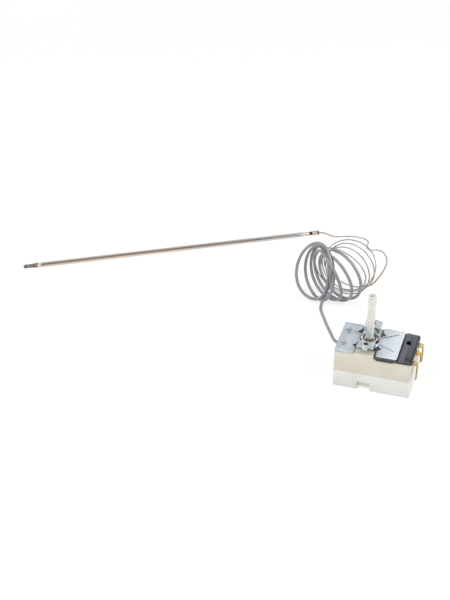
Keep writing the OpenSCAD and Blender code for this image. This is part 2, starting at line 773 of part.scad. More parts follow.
module diaphragm_lower() {
    color("silver") translate([0, 0, capsule_z]) mirror([0, 0, 1]) corrugated_disc();
}

// Collar that joins the capsule to the carrier
module diaphragm_stud() {
    color("goldenrod") ring(stud_d / 2, stud_bore / 2, capsule_z + capsule_rise,
        carrier_z - capsule_z - capsule_rise);
}

module thrust_button() {
    color("silver") translate([0, 0, button_z]) cylinder(h = button_t, r = button_d / 2);
}

// Fitting on the capsule's rim that the capillary is brazed into
module capillary_socket() {
    color("goldenrod") translate([0, 0, capsule_z]) rotate([0, 90, 180 - inlet_turn])
        translate([0, 0, capsule_d / 2 + run]) cylinder(h = socket_out - capsule_d / 2, r = socket_r);
}

// Bare capillary between the capsule and the case's wall
module capillary_inner() {
    from_r = socket_out + run + gap;
    color("rosybrown") translate([0, 0, capsule_z]) rotate([0, 90, 180 - inlet_turn])
        translate([0, 0, from_r]) cylinder(h = wall_r - from_r, r = capillary_d / 2, $fn = 24);
}

// Ceramic pin between the capsule's button and the switch's arm
module push_pin() {
    color("white") translate([0, 0, pin_z]) cylinder(h = pin_top - pin_z, r = pin_d / 2);
}

// Snap-acting arm: a spring sheet with a bowed tongue between two rails and a rounded pivot edge
module contact_arm() {
    color("peru") {
        difference() {
            translate([contact_x - 2.4, -arm_w / 2, arm_z])
                cube([pivot_x - contact_x + 2.4, arm_w, arm_t]);
            translate([tongue_from, -tongue_w / 2 - 0.4, arm_z - cut])
                cube([tongue_to - tongue_from, tongue_w + 0.8, arm_t + 2 * cut]);
            translate([contact_x, 0, arm_z - cut]) cylinder(h = arm_t + 2 * cut, r = tail_d / 2);
        }
        translate([pivot_x, arm_w / 2, pivot_z]) rotate([90, 0, 0]) cylinder(h = arm_w, r = arm_t / 2);
        bent_strip([for (k = [0:8])
            let (t = k / 8)
            [tongue_from - 0.4 + (tongue_to - tongue_from + 0.8) * t,
            pivot_z - tongue_bow * sin(180 * t)]], tongue_w, arm_t, 0);
    }
}

module moving_contact() {
    color("silver") translate([contact_x, 0, 0]) {
        translate([0, 0, arm_z + arm_t]) cylinder(h = moving_h, r = moving_d / 2);
        translate([0, 0, arm_z - moving_h]) cylinder(h = moving_h, r = moving_d / 2);
        translate([0, 0, arm_z]) cylinder(h = arm_t, r = tail_d / 2);
    }
}

// Bracket with a notch that the arm's end pivots in
module arm_anchor() {
    color("goldenrod") difference() {
        translate([anchor_x, blade_middle_y - blade_w / 2, arm_z]) cube([anchor_l, blade_w, anchor_t]);
        translate([anchor_x - cut, blade_middle_y - blade_w, arm_z - cut])
            cube([cut + pivot_x + 0.6 - anchor_x, 2 * blade_w, cut + arm_t + 0.2]);
        translate([rivet_x, blade_middle_y, arm_z - cut])
            cylinder(h = anchor_t + 2 * cut, r = rivet_d / 2);
    }
}

module anchor_rivet() {
    color("silver") translate([rivet_x, blade_middle_y, 0]) {
        translate([0, 0, foot_z - rivet_head_t]) cylinder(h = rivet_head_t, r = rivet_head_d / 2);
        translate([0, 0, foot_z]) cylinder(h = blade_t + anchor_t, r = rivet_d / 2);
        translate([0, 0, arm_z + anchor_t]) cylinder(h = rivet_head_t, r = rivet_head_d / 2);
    }
}

module fixed_contact(z, h, from, to) {
    translate([contact_x, 0, z]) cylinder(h = h, r = fixed_d / 2);
    translate([contact_x, 0, from]) cylinder(h = to - from, r = tail_d / 2);
}

module upper_contact() {
    color("silver") fixed_contact(upper_face, upper_z - upper_face, upper_z, upper_z + blade_t);
}

module lower_contact() {
    color("silver") fixed_contact(lower_z + blade_t, fixed_h, lower_z, lower_z + blade_t);
}

// The part of a terminal above the web: riser, level plate, bend over the wall and blade outside
module blade(riser, y_in, y_out, foot, corner, end = blade_end, w = blade_w) {
    mid_z = blade_z + blade_t / 2;
    fall_x = blade_x - blade_t / 2;
    bent_strip([[riser, foot], [riser, mid_z]], blade_w, blade_t, y_in);
    level_plate(riser, y_in, y_out);
    difference() {
        intersection() {
            bent_strip(concat([[riser, mid_z]], bend(fall_x - bend_r, mid_z - bend_r, bend_r, 90, 0),
                [[fall_x, end]]), w, blade_t, y_out);
            translate([level_x - fit, y_out - w / 2, 0]) cube([body_l, w, case_top]);
        }
        for (side = [-1, 1])
            translate([blade_x, y_out + side * w / 2, end]) rotate([45, 0, 0])
                cube([4 * blade_t, corner, corner], center = true);
    }
}

// The round end of the middle terminal, over its narrower fall
module spoon() {
    translate([0, blade_middle_y, blade_z]) linear_extrude(blade_t) {
        translate([level_x - fit, -blade_w / 2]) square([spoon_x - level_x + fit, blade_w]);
        translate([spoon_x, 0]) circle(blade_w / 2);
    }
}

// The level plate between a terminal's riser and its slot in the wall
module level_plate(riser, y_in, y_out) {
    half = blade_w / 2;
    mid_x = (riser + level_x) / 2;
    translate([0, 0, blade_z]) linear_extrude(blade_t) polygon([
        [riser - blade_t / 2, y_in - half], [riser + blade_t, y_in - half],
        [mid_x + blade_t, y_out - half], [level_x, y_out - half], [level_x, y_out + half],
        [mid_x, y_out + half], [riser, y_in + half], [riser - blade_t / 2, y_in + half]
    ]);
}

// The conductor in the switch chamber from a riser to its contact; side is -1 in front, 1 behind
module conductor(y_in, z, side) {
    edge = riser_x + blade_t / 2;
    low = min(side * strip_y, side * (strip_y + strip_w));
    far = y_in + side * blade_w / 2;
    difference() {
        translate([0, 0, z]) linear_extrude(blade_t) {
            translate([edge - shelf_l, min(low, far)]) square([shelf_l, abs(far - side * strip_y)]);
            translate([strip_end, low]) square([edge - strip_end, strip_w]);
            translate([strip_end, min(-side * fixed_d / 2, side * (strip_y + strip_w))])
                square([tab_l, strip_w + strip_y + fixed_d / 2]);
        }
        translate([contact_x, 0, z - cut]) cylinder(h = blade_t + 2 * cut, r = tail_d / 2);
    }
}

module terminal_front() {
    color("gold") {
        blade(riser_x, inner_front_y, blade_front_y, upper_z, 1.2);
        conductor(inner_front_y, upper_z, -1);
    }
}

module terminal_back() {
    color("gold") {
        blade(riser_x, inner_back_y, blade_back_y, lower_z, 1.2);
        conductor(inner_back_y, lower_z, 1);
    }
}

module terminal_middle() {
    color("gold") difference() {
        union() {
            blade(middle_riser_x, blade_middle_y, blade_middle_y, foot_z + blade_t / 2, 0.8,
                blade_middle_end, spoon_neck);
            spoon();
            translate([pivot_x + 0.6, blade_middle_y - blade_w / 2, foot_z])
                cube([middle_riser_x + blade_t / 2 - pivot_x - 0.6, blade_w, blade_t]);
        }
        translate([rivet_x, blade_middle_y, foot_z - cut])
            cylinder(h = blade_t + 2 * cut, r = rivet_d / 2);
    }
}

// Sleeved capillary from the case to the coil
module sleeve_lead() {
    color("slategray") swept_tube(spline(SLEEVE_ROUTE, SLEEVE_STEPS), sleeve_d);
}

// Outer shape of the sleeved turns: a winding whose turns are shifted sideways
module sleeve_coil() {
    module outline(r) {
        for (x = [-coil_shift / 2, coil_shift / 2]) translate([x, 0]) circle(r);
        translate([-coil_shift / 2, -r]) square([coil_shift, 2 * r]);
    }
    color("slategray") translate([coil_at.x, coil_at.y, coil_d / 2]) rotate(coil_turn - 90)
        translate([0, coil_w / 2, 0]) rotate([90, 0, 0]) linear_extrude(coil_w) difference() {
            outline(coil_d / 2);
            outline(coil_d / 2 - coil_wall);
        }
}

// Outer shape of the bare turns
module capillary_coil() {
    color("silver") translate([bare_at.x, bare_at.y, bare_coil_d / 2]) rotate(coil_turn - 90)
        rotate([90, 0, 0]) ring(bare_coil_d / 2, bare_coil_d / 2 - bare_wall, -bare_w / 2, bare_w);
}

// Bare capillary from the coil to the bulb
module capillary_lead() {
    color("rosybrown") swept_tube(spline(CAPILLARY_ROUTE, CAPILLARY_STEPS), capillary_d);
}

// Places a piece along the bulb, at a distance from the end of its neck
module along_bulb(from) {
    translate(bulb_at) rotate([0, -90, bulb_turn]) translate([0, 0, from]) children();
}

module bulb_tube() {
    color("silver") along_bulb(neck_l + cone_l)
        cylinder(h = bulb_l - neck_l - cone_l - step_l - tip_l, r = bulb_d / 2);
}

// Neck: a cone, a crimped sleeve and an end collar
module bulb_neck() {
    color("silver") {
        along_bulb(neck_l) cylinder(h = cone_l, r1 = neck_r, r2 = bulb_d / 2);
        along_bulb(crimp_at + crimp_l) cylinder(h = neck_l - crimp_at - crimp_l, r = neck_r);
        along_bulb(crimp_at) cylinder(h = crimp_l, r = neck_r - 0.3);
        along_bulb(collar_l) cylinder(h = crimp_at - collar_l, r = neck_r);
        along_bulb(0) cylinder(h = collar_l, r = neck_r + 0.15);
    }
}

// Tip: a step and a pinched end
module bulb_tip() {
    color("gray") {
        along_bulb(bulb_l - tip_l - step_l) cylinder(h = step_l, r = neck_r);
        along_bulb(bulb_l - tip_l) difference() {
            cylinder(h = tip_l, r = tip_r);
            for (side = [-1, 1]) translate([side * (tip_r + 0.35), 0, tip_l * 0.62])
                rotate([0, -side * pinch_turn, 0])
                cube([tip_r * 0.75, 2 * tip_r + 1, tip_l], center = true);
        }
    }
}

base();
case();
liner();
mounting_plate();
switch_cover();
fixing_straps();
cover_screws();
spindle_bush();
shaft_ring();
shaft();
spindle();
stop_disc();
carrier();
diaphragm_upper();
diaphragm_lower();
diaphragm_stud();
thrust_button();
capillary_socket();
capillary_inner();
push_pin();
contact_arm();
moving_contact();
arm_anchor();
anchor_rivet();
upper_contact();
lower_contact();
terminal_front();
terminal_middle();
terminal_back();
sleeve_lead();
sleeve_coil();
capillary_coil();
capillary_lead();
bulb_tube();
bulb_tip();
bulb_neck();
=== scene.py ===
import math

import bmesh
import bpy
from mathutils import Matrix, Vector


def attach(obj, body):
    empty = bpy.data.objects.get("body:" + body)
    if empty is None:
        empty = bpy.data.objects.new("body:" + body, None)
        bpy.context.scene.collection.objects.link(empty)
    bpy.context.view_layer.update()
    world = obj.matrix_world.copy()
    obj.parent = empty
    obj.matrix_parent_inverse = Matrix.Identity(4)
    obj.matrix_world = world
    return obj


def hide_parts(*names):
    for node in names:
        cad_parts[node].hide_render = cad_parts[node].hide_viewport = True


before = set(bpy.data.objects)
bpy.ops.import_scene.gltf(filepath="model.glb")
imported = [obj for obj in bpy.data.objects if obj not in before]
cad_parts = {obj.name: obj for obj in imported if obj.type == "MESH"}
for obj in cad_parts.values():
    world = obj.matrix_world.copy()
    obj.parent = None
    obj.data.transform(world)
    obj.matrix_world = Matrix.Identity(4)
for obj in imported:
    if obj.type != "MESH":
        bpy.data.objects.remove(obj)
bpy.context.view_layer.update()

MM = 0.001
HOUSING = "housing"

# Sizes that the pieces below share, in millimetres
PLATE_TOP = 33.2
SHAFT_FOOT, SHAFT_END = 35.4, 73.0
RING_Z = 33.7
SHAFT_R, CORE_R, CORE_H = 3.0, 1.36, 14.1
RING_BORE, RING_R = 4.1, 6.85
EAR_Y, HOLE_R = 14.0, 1.65
BLADE_FOOT, COVER_TOP = 35.5, 32.0
STRAP_X, STRAP_Y = -17.4, 8.9
SLEEVE_D, CAPILLARY_D = 2.5, 1.0

# The bulb: where its neck ends, the way it points, and places along it from that end
BULB_END = Vector((-85.5, 192.5, 2.0))
BULB_TURN = math.radians(30)
BULB_R, BULB_L = 2.0, 262
CRIMP_AT, BARREL_FROM, BARREL_TO = 7.5, 18.9, 251.5
CRIMP = BULB_END - CRIMP_AT * Vector((math.cos(BULB_TURN), math.sin(BULB_TURN), 0))
TIP_X = BULB_END.x - BULB_L * math.cos(BULB_TURN)


def srgb(red, green, blue):
    """A colour written as it looks, from 0 to 255, as the shader's linear values."""
    def linear(value):
        value /= 255
        return value / 12.92 if value <= 0.04045 else ((value + 0.055) / 1.055) ** 2.4
    return (linear(red), linear(green), linear(blue), 1.0)


# Camera

def make_camera():
    lens = bpy.data.cameras.new("photo_view")
    lens.lens = 78
    lens.sensor_width = 36
    lens.clip_start = 0.01
    lens.clip_end = 10
    camera = bpy.data.objects.new("photo_view", lens)
    camera.location = (0.132857, -0.785207, 0.595078)
    camera.rotation_euler = (math.radians(90 - 33.69), 0, math.radians(17.37))
    bpy.context.scene.collection.objects.link(camera)
    bpy.context.scene.camera = camera


make_camera()
bpy.context.scene.view_settings.view_transform = "Standard"


# Finishes

NOISE_SPAN = (0.3, 0.7)


class Finish:
    """A procedural material that reads Object coordinates.

    stretch says how many times longer its marks are along each axis, and turn how far that
    first axis is turned round the vertical.
    """

    def __init__(self, name, stretch=(1, 1, 1), turn=0):
        self.material = bpy.data.materials.new(name)
        self.material.use_nodes = True
        self.tree = self.material.node_tree
        self.shader = self.tree.nodes["Principled BSDF"]
        place = self.tree.nodes.new("ShaderNodeTexCoord")
        mapping = self.tree.nodes.new("ShaderNodeMapping")
        mapping.vector_type = "TEXTURE"
        mapping.inputs["Scale"].default_value = stretch
        mapping.inputs["Rotation"].default_value = (0, 0, turn)
        self.tree.links.new(place.outputs["Object"], mapping.inputs["Vector"])
        self.plain = place.outputs["Object"]
        self.vector = mapping.outputs["Vector"]

    def noise(self, scale, detail, rough=0.55, stretched=True):
        node = self.tree.nodes.new("ShaderNodeTexNoise")
        node.inputs["Scale"].default_value = scale
        node.inputs["Detail"].default_value = detail
        node.inputs["Roughness"].default_value = rough
        self.tree.links.new(self.vector if stretched else self.plain, node.inputs["Vector"])
        return node.outputs["Fac"]

    def ramp(self, value, stops):
        """A colour for each value, between stops of (position, colour)."""
        node = self.tree.nodes.new("ShaderNodeValToRGB")
        while len(node.color_ramp.elements) < len(stops):
            node.color_ramp.elements.new(0.5)
        for element, (place, colour) in zip(node.color_ramp.elements, stops):
            element.position = place
            element.color = colour
        self.tree.links.new(value, node.inputs["Fac"])
        return node.outputs["Color"]

    def between(self, value, start, end, low=0, high=1, eased=False):
        """From low to high as a value goes from start to end."""
        node = self.tree.nodes.new("ShaderNodeMapRange")
        if eased:
            node.interpolation_type = "SMOOTHSTEP"
        node.inputs["From Min"].default_value = start
        node.inputs["From Max"].default_value = end
        node.inputs["To Min"].default_value = low
        node.inputs["To Max"].default_value = high
        self.tree.links.new(value, node.inputs["Value"])
        return node.outputs["Result"]

    def across(self, axis, start, end):
        """0 to 1 as one coordinate in millimetres goes from start to end."""
        split = self.tree.nodes.new("ShaderNodeSeparateXYZ")
        self.tree.links.new(self.plain, split.inputs[0])
        return self.between(split.outputs[axis], start * MM, end * MM)

    def outwards(self, start, end):
        """0 to 1 as the distance from the vertical axis goes from start to end."""
        flat = self.tree.nodes.new("ShaderNodeVectorMath")
        flat.operation = "MULTIPLY"
        flat.inputs[1].default_value = (1, 1, 0)
        self.tree.links.new(self.plain, flat.inputs[0])
        length = self.tree.nodes.new("ShaderNodeVectorMath")
        length.operation = "LENGTH"
        self.tree.links.new(flat.outputs["Vector"], length.inputs[0])
        return self.between(length.outputs["Value"], start * MM, end * MM)

    def near(self, point, radius, inner=0):
        """1 within inner of a point in millimetres, down to 0 at a radius round it."""
        node = self.tree.nodes.new("ShaderNodeVectorMath")
        node.operation = "DISTANCE"
        node.inputs[1].default_value = Vector(point) * MM
        self.tree.links.new(self.plain, node.inputs[0])
        return self.between(node.outputs["Value"], radius * MM, inner * MM, eased=True)

    def mixed(self, value, first, second, blend="MIX"):
        """A colour between two others, or the one times the other."""
        node = self.tree.nodes.new("ShaderNodeMixRGB")
        node.blend_type = blend
        self.join(value, node.inputs["Fac"])
        self.join(first, node.inputs["Color1"])
        self.join(second, node.inputs["Color2"])
        return node.outputs["Color"]

    def join(self, value, socket):
        """Sets a plain value on a socket, or links another node's output to it."""
        if isinstance(value, (int, float, tuple)):
            socket.default_value = value
        else:
            self.tree.links.new(value, socket)

    def set(self, **sockets):
        for name, value in sockets.items():
            self.shader.inputs[name.replace("_", " ")].default_value = value

    def colour(self, value):
        self.tree.links.new(value, self.shader.inputs["Base Color"])

    def roughness(self, value, low, high):
        """Spreads a noise, which mostly lies within NOISE_SPAN, from low to high."""
        self.tree.links.new(self.between(value, *NOISE_SPAN, low, high),
                            self.shader.inputs["Roughness"])

    def bump(self, value, depth):
        """Raises the surface with a noise, by a depth in metres."""
        node = self.tree.nodes.new("ShaderNodeBump")
        node.inputs["Strength"].default_value = 1.0
        node.inputs["Distance"].default_value = depth
        self.tree.links.new(value, node.inputs["Height"])
        self.tree.links.new(node.outputs["Normal"], self.shader.inputs["Normal"])


def moulded(name, dark, light, rough, grain=900, depth=0.00003, shade=None):
    """Moulded plastic: slow flow marks in its colour and a fine sparked texture."""
    made = Finish(name)
    tone = made.ramp(made.noise(60, 3), list(zip(NOISE_SPAN, (dark, light))))
    made.colour(shade(made, tone) if shade else tone)
    made.roughness(made.noise(300, 3), *rough)
    made.bump(made.noise(grain, 3, 0.6), depth)
    return made.material


def metal(name, dark, light, rough, stretch=(1, 1, 1), turn=0, grain=500, depth=0.00002,
          shade=None):
    """Bare or plated metal: a cloudy tone, a grain that runs one way, and fine scratches."""
    made = Finish(name, stretch=stretch, turn=turn)
    tone = made.ramp(made.noise(110, 4, stretched=False), [(0.32, dark), (0.68, light)])
    made.colour(shade(made, tone) if shade else tone)
    made.roughness(made.noise(grain, 4), *rough)
    made.bump(made.noise(grain * 2, 3), depth)
    made.set(Metallic=1.0)
    return made.material


# What a finish looks like in its own places. Each takes the finish and its plain tone.


def plate_shade(made, tone):
    """Brighter towards the terminal end: a painted reflection."""
    return made.mixed(made.across("X", 6, 20), tone, srgb(222, 229, 236))


def cover_shade(made, tone):
    """Painted shade: the top is paler than the sides and the recess in it."""
    return made.mixed(made.across("Z", COVER_TOP - 0.4, COVER_TOP - 0.05),
                      srgb(50, 51, 55), tone)


def liner_shade(made, tone):
    """Painted shade: darker in the middle, under the plate, than at its front and back."""
    shaded = srgb(96, 84, 71)
    inner = made.mixed(made.across("Y", -12.5, -10.5), tone, shaded)
    back = made.mixed(made.across("X", -7, -5), shaded, tone)
    return made.mixed(made.across("Y", 8.5, 10.5), inner, back)


def blade_shade(made, tone):
    """Painted shade: a darker foot where each blade leaves the housing."""
    return made.mixed(made.across("X", BLADE_FOOT, BLADE_FOOT + 1.6), srgb(120, 98, 58), tone)


def ring_shade(made, tone):
    """Painted shade in its bore and round its foot, a painted highlight on the front of its
    crown, and a painted reflection that darkens it towards the back.
    """
    dark, crown = srgb(60, 55, 52), srgb(246, 240, 232)
    bright = made.ramp(made.outwards(RING_BORE, RING_R), [
        (0.18, dark), (0.3, crown), (0.72, crown), (0.84, dark)])
    return made.mixed(made.across("Y", -1.5, 2.5), bright, srgb(96, 92, 88))


def tip_shade(made):
    """A pale end to the tube, then brown, then dark grey where the tip was sealed, with a
    painted glint in the grey.
    """
    pale, brown = srgb(222, 208, 188), srgb(122, 106, 92)
    dark, glint = srgb(112, 113, 118), srgb(158, 161, 168)
    return made.ramp(made.across("X", TIP_X + 15, TIP_X), [
        (0.16, pale), (0.24, pale), (0.3, brown), (0.44, brown), (0.5, dark), (0.68, dark),
        (0.74, glint), (0.8, dark)])


def tube_shade(made, tone):
    """Painted reflections in bands by height that run the tube's whole length, browner towards
    its far end.
    """
    height = made.across("Z", 0, 2 * BULB_R)
    near = made.ramp(height, [(0.15, srgb(178, 178, 180)), (0.42, srgb(224, 216, 210)),
                              (0.58, srgb(204, 198, 194)), (0.7, srgb(130, 128, 130)),
                              (0.86, srgb(126, 125, 128)), (0.97, srgb(206, 206, 206))])
    far = made.ramp(height, [(0.15, srgb(172, 170, 168)), (0.42, srgb(232, 214, 198)),
                             (0.58, srgb(206, 188, 172)), (0.7, srgb(134, 116, 103)),
                             (0.86, srgb(130, 113, 100)), (0.96, srgb(196, 191, 186))])
    bands = made.mixed(made.across("X", -110, -200), near, far)
    streaked = made.mixed(0.5, bands, made.ramp(made.noise(300, 3), [
        (0.3, srgb(206, 200, 194)), (0.7, srgb(255, 252, 248))]), "MULTIPLY")
    return made.mixed(made.across("X", TIP_X + 13.8, TIP_X + 13), streaked, tip_shade(made))


def gland_shade(made, tone):
    """Warm from brazing, with painted shade in the crimp, and dark round the mouth."""
    grey = made.mixed(made.across("X", BULB_END.x - 15, BULB_END.x - 11),
                      srgb(176, 176, 178), tone)
    crimped = made.mixed(made.near(CRIMP, 2.8, 1.5), grey, srgb(20, 20, 20))
    return made.mixed(made.near(BULB_END, 2.7, 1.7), crimped, srgb(40, 37, 34))


def tinned_shade(made, tone):
    """Copper shows where the tinning is worn: on the last loop's outer bend and by the bulb."""
    copper = srgb(148, 115, 87)
    bent = made.mixed(made.near((-20, 134, 0), 40, 8), tone, copper)
    return made.mixed(made.near(BULB_END, 28, 2), bent, copper)


def shaft_shade(made):
    """Long pale streaks, greyer round the steel core, and at the foot, where the shaft meets it,
    brown as a painted reflection.
    """
    streaks = made.ramp(made.noise(700, 3), [(0.35, srgb(232, 234, 237)),
                                             (0.6, srgb(255, 249, 237))])
    grey = made.ramp(made.noise(600, 3), [(0.35, srgb(186, 190, 196)),
                                          (0.65, srgb(240, 242, 244))])
    foot = made.mixed(made.across("Z", SHAFT_FOOT + 0.4, SHAFT_FOOT + 2.4),
                      srgb(166, 157, 146), grey)
    return made.mixed(made.across("Z", SHAFT_FOOT + 6, SHAFT_FOOT + 14), foot, streaks)


# The finishes by name: their darker and lighter tone, then the range of their roughness
ZINC = metal("zinc_sheet", srgb(172, 180, 188), srgb(200, 207, 214), (0.24, 0.4),
             stretch=(3, 1, 1), grain=420, depth=0.00001, shade=plate_shade)
# A darker copy of the zinc: painted shade for the faces that in_shade picks
SHADED_ZINC = metal("shaded_zinc", srgb(70, 70, 72), srgb(92, 92, 94), (0.4, 0.55))
STEEL = metal("drawn_steel", srgb(176, 172, 166), srgb(206, 202, 196), (0.16, 0.3),
              depth=0.000008)
RING_STEEL = metal("polished_steel", srgb(176, 172, 166), srgb(206, 202, 196), (0.12, 0.2),
                   depth=0.000002, shade=ring_shade)
BULB_STEEL = metal("bulb_steel", srgb(176, 164, 152), srgb(204, 194, 184), (0.16, 0.28),
                   stretch=(25, 1, 1), turn=BULB_TURN, grain=420, depth=0.000002,
                   shade=tube_shade)
GLAND_STEEL = metal("brazed_steel", srgb(178, 163, 146), srgb(214, 202, 188), (0.3, 0.42),
                    depth=0.000002, shade=gland_shade)
BRASS = metal("stamped_brass", srgb(198, 170, 112), srgb(224, 202, 154), (0.2, 0.34),
              depth=0.000008, shade=blade_shade)
CUT_BRASS = metal("sheared_brass", srgb(132, 110, 76), srgb(166, 144, 108), (0.34, 0.5))
GILT = metal("plain_brass", srgb(216, 166, 72), srgb(236, 194, 106), (0.2, 0.34),
             depth=0.000008, shade=blade_shade)
BRONZE = metal("spring_bronze", srgb(188, 140, 96), srgb(214, 170, 124), (0.25, 0.4))
TINNED = metal("tinned_copper", srgb(138, 137, 138), srgb(180, 179, 177), (0.28, 0.44),
               depth=0.000002, shade=tinned_shade)
WHITE = moulded("white_moulding", srgb(222, 222, 217), srgb(234, 234, 229), (0.34, 0.5))
CREAM = moulded("cream_moulding", srgb(217, 211, 193), srgb(226, 221, 205), (0.4, 0.55))
# The case's cream again, with painted shade where the liner lies under the plate
LINER = moulded("liner_moulding", srgb(217, 211, 193), srgb(226, 221, 205), (0.4, 0.55),
                shade=liner_shade)
CHARCOAL = moulded("charcoal_moulding", srgb(72, 74, 82), srgb(88, 90, 98), (0.3, 0.44),
                   shade=cover_shade)
CERAMIC = moulded("ground_ceramic", srgb(232, 226, 214), srgb(242, 238, 230), (0.3, 0.45))
SLEEVE = moulded("grey_sleeve", srgb(136, 137, 141), srgb(157, 158, 162), (0.26, 0.4),
                 grain=1500, depth=0.00001)


def natural_polymer():
    """See-through polymer, streaked along the shaft by the way it was moulded."""
    made = Finish("natural_polymer", stretch=(1, 1, 20))
    made.colour(shaft_shade(made))
    made.roughness(made.noise(300, 3), 0.16, 0.28)
    made.bump(made.noise(700, 3), 0.000004)
    made.set(Transmission_Weight=0.25, IOR=1.45)
    return made.material


NATURAL = natural_polymer()

NODE_FINISH = {
    "base": WHITE, "case": CREAM, "liner": LINER, "mounting_plate": ZINC,
    "switch_cover": CHARCOAL, "fixing_straps": ZINC, "cover_screws": ZINC,
    "spindle_bush": STEEL, "shaft_ring": RING_STEEL,
    "shaft": NATURAL, "spindle": STEEL, "stop_disc": STEEL, "carrier": BRASS,
    "diaphragm_upper": STEEL, "diaphragm_lower": STEEL, "diaphragm_stud": BRASS,
    "thrust_button": STEEL, "capillary_socket": BRASS, "capillary_inner": TINNED,
    "push_pin": CERAMIC, "contact_arm": BRONZE, "moving_contact": STEEL,
    "arm_anchor": BRASS, "anchor_rivet": STEEL, "upper_contact": STEEL,
    "lower_contact": STEEL, "terminal_front": BRASS, "terminal_middle": GILT,
    "terminal_back": BRASS, "sleeve_lead": SLEEVE, "sleeve_coil": SLEEVE,
    "capillary_coil": TINNED, "capillary_lead": TINNED, "bulb_tube": BULB_STEEL,
    "bulb_tip": BULB_STEEL, "bulb_neck": GLAND_STEEL,
}
for node, finish in NODE_FINISH.items():
    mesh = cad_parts[node].data
    mesh.materials.clear()
    mesh.materials.append(finish)


# Shared ways of making a piece

def finished(name, bm, finish, replaces, body=HOUSING, smooth=35, second=None):
    """Turns a mesh made in millimetres into a piece that rides on a body.

    Edges sharper than smooth, in degrees, stay sharp. second is a further finish for the
    faces that carry its index.
    """
    bmesh.ops.scale(bm, vec=(MM, MM, MM), verts=bm.verts)
    mesh = bpy.data.meshes.new(name)
    bm.to_mesh(mesh)
    bm.free()
    for face in mesh.polygons:
        face.use_smooth = True
    mesh.set_sharp_from_angle(angle=math.radians(smooth))
    mesh.materials.append(finish)
    if second:
        mesh.materials.append(second)
    piece = bpy.data.objects.new(name, mesh)
    bpy.context.scene.collection.objects.link(piece)
    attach(piece, body)
    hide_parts(*replaces)


def turned(profile, steps=64):
    """Spins a profile of (radius, height) round the Z axis into a closed mesh."""
    bm = bmesh.new()
    verts = [bm.verts.new((r, 0, z)) for r, z in profile]
    edges = [bm.edges.new(pair) for pair in zip(verts, verts[1:])]
    bmesh.ops.spin(bm, geom=verts + edges, cent=(0, 0, 0), axis=(0, 0, 1),
                   angle=math.tau, steps=steps, use_merge=True)
    bmesh.ops.remove_doubles(bm, verts=bm.verts, dist=0.0005)
    bmesh.ops.recalc_face_normals(bm, faces=bm.faces)
    return bm


def rounded(points, radius, steps=4):
    """A profile with each of its corners but the first and last point turned into a curve."""
    made = [points[0]]
    for before, corner, after in zip(points, points[1:], points[2:]):
        here = Vector(corner)
        back, on = Vector(before) - here, Vector(after) - here
        reach = min(radius, back.length / 2.2, on.length / 2.2)
        start, end = here + back.normalized() * reach, here + on.normalized() * reach
        for k in range(steps + 1):
            t = k / steps
            made.append(tuple(start.lerp(here, t).lerp(here.lerp(end, t), t)))
    made.append(points[-1])
    return made


SHARP = math.radians(35)


def softened(node, name, width, second=None, where=None):
    """A merged copy of a rigid part with its edges eased, as moulding and stamping leave them.

    The faces that where picks, by their middle and their normal, take a second finish.
    """
    bm = bmesh.new()
    bm.from_mesh(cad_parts[node].data)
    bmesh.ops.scale(bm, vec=(1 / MM, 1 / MM, 1 / MM), verts=bm.verts)
    bmesh.ops.remove_doubles(bm, verts=bm.verts, dist=0.002)
    bmesh.ops.dissolve_limit(bm, angle_limit=math.radians(1), verts=bm.verts, edges=bm.edges,
                             delimit={"NORMAL"})
    sharp = [e for e in bm.edges if len(e.link_faces) == 2 and e.calc_face_angle(0) > SHARP]
    bmesh.ops.bevel(bm, geom=sharp, offset=width, offset_type="OFFSET", segments=2,
                    profile=0.5, material=-1, affect="EDGES", clamp_overlap=False)
    if where:
        bm.normal_update()
        for face in bm.faces:
            face.material_index = int(where(face.calc_center_median(), face.normal))
    finished(name, bm, NODE_FINISH[node], (node,), smooth=50, second=second)


def smooth_tube(name, points, diameter, finish):
    """A round tube along a smooth curve through points in millimetres."""
    curve = bpy.data.curves.new(name, "CURVE")
    curve.dimensions = "3D"
    curve.resolution_u = 5
    curve.bevel_depth = diameter / 2 * MM
    curve.bevel_resolution = 5
    curve.use_fill_caps = True
    line = curve.splines.new("BEZIER")
    line.bezier_points.add(len(points) - 1)
    for knot, point in zip(line.bezier_points, points):
        knot.co = Vector(point) * MM
        knot.handle_left_type = knot.handle_right_type = "AUTO"
    curve.materials.append(finish)
    piece = bpy.data.objects.new(name, curve)
    bpy.context.scene.collection.objects.link(piece)
    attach(piece, HOUSING)
    return piece


# Capillary: the sleeved part, the winding and the bare part

# One row for each half turn: the X and Y of its middle, the way it faces and its lean in
# degrees, its radius, and how far its lowest point stays above the surface
WINDING = [
    (-68, 96, -39, -4, 25.6, 1), (-57.5, 88, -17, 18, 24.2, 0), (-67.5, 97.5, -42, 11, 21, 1.5),
    (-58.5, 94, -38, 14, 22.6, 0), (-59.5, 95.5, -52, 9, 21, 0), (-56.5, 93.5, -47, 3, 23.2, 0),
    (-56.5, 92, -39, -17, 21.8, 0), (-51, 92.5, -39, -3, 22.6, 0),
    (-49, 92.5, -36, -13, 22.4, 0.5), (-46, 91.5, -37, -10, 22, 1), (-45, 94, -30, -11, 24, 3),
    (-43, 96.5, -30, -7, 22.2, 4.5), (-45.5, 100.5, -15, -17, 23.4, 6),
    (-44.5, 99.5, -14, -4, 23.8, 4.5), (-43, 100.5, -15, -1, 23.8, 3),
    (-40.5, 102.5, -4, 6, 22.2, 3), (-40, 106.5, -7, -2, 22.4, 3.5),
    (-38.5, 112, -3, 19, 22, 3.5), (-41, 115.5, 12, 28, 21.8, 4), (-42, 122, 25, 29, 21.6, 4),
    (-38.5, 130.5, 28, 27, 21.4, 4),
]
# In turns: where the sleeved lead meets the winding, where the sleeve ends, where the lead
# to the bulb starts, and the points made for each turn
SLEEVE_FROM, SLEEVE_TO, WINDING_TO = 0.07, 5.3, 9.6
POINTS_PER_TURN = 16
CLEAR = 0.1  # between the turns' lowest points and the surface
LYING = 0.55  # the bare capillary's middle where it lies on the surface

